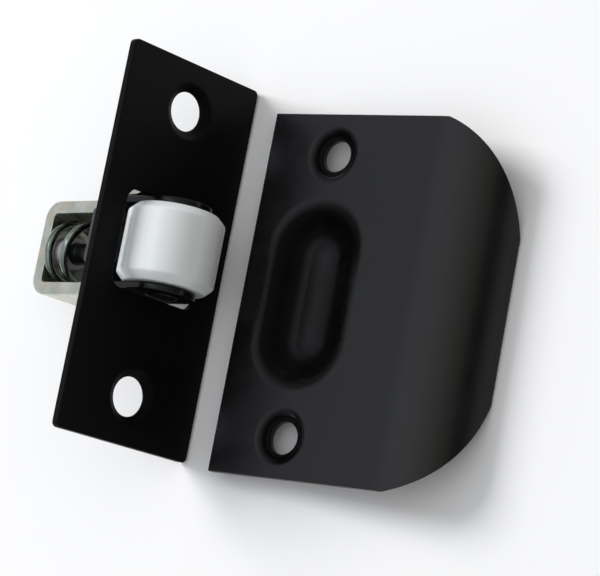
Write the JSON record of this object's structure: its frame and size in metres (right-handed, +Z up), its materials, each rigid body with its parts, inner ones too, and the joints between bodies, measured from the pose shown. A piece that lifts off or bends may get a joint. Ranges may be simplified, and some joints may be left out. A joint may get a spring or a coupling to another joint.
{
  "type": "roller catch",
  "caption": "Sprung roller door catch: black faceplate with a white nylon roller on a sliding fork and coil spring, and a matching strike plate with a pressed recess and a rolled lip.",
  "frame": {"origin": "middle of the pair's footprint on the surface it lies on", "axes": "+X from the latch towards the strike's lip, +Y along both plates, +Z up"},
  "size_m": [0.0738, 0.058, 0.024],
  "materials": {
    "black_enamel": "satin black enamel on sheet steel",
    "black_matt_enamel": "matt black enamel on pressed sheet steel",
    "zinc_plated_steel": "bright zinc plate, slightly dull",
    "bush_grey": "moulded grey bush",
    "black_fork": "glossy black finish",
    "clip_steel": "blued spring steel",
    "spring_steel": "zinc-plated spring wire",
    "white_nylon": "turned white nylon, slightly translucent"
  },
  "bodies": {
    "latch_and_strike": {"faceplate": "black_enamel", "case": "zinc_plated_steel", "guide_bush": "bush_grey", "spring": "spring_steel", "strike_plate": "black_matt_enamel"},
    "fork": {"yoke": "black_fork", "guide_stem": "black_fork", "stem_clip": "clip_steel", "roller_pin": "black_fork"},
    "roller": {"roller": "white_nylon"}
  },
  "joints": [
    {"name": "fork_slide", "type": "slide", "parent": "latch_and_strike", "child": "fork", "axis": [0.9279, 0, 0.3729], "range_m": [-0.003, 0], "stiffness_N_per_m": 1500, "springref_m": 0.004, "deforming": ["spring"]},
    {"name": "roller_spin", "type": "hinge", "parent": "fork", "child": "roller", "pos_m": [-0.01091, 0.00079, 0.01294], "axis": [0, 1, 0], "continuous": true}
  ]
}
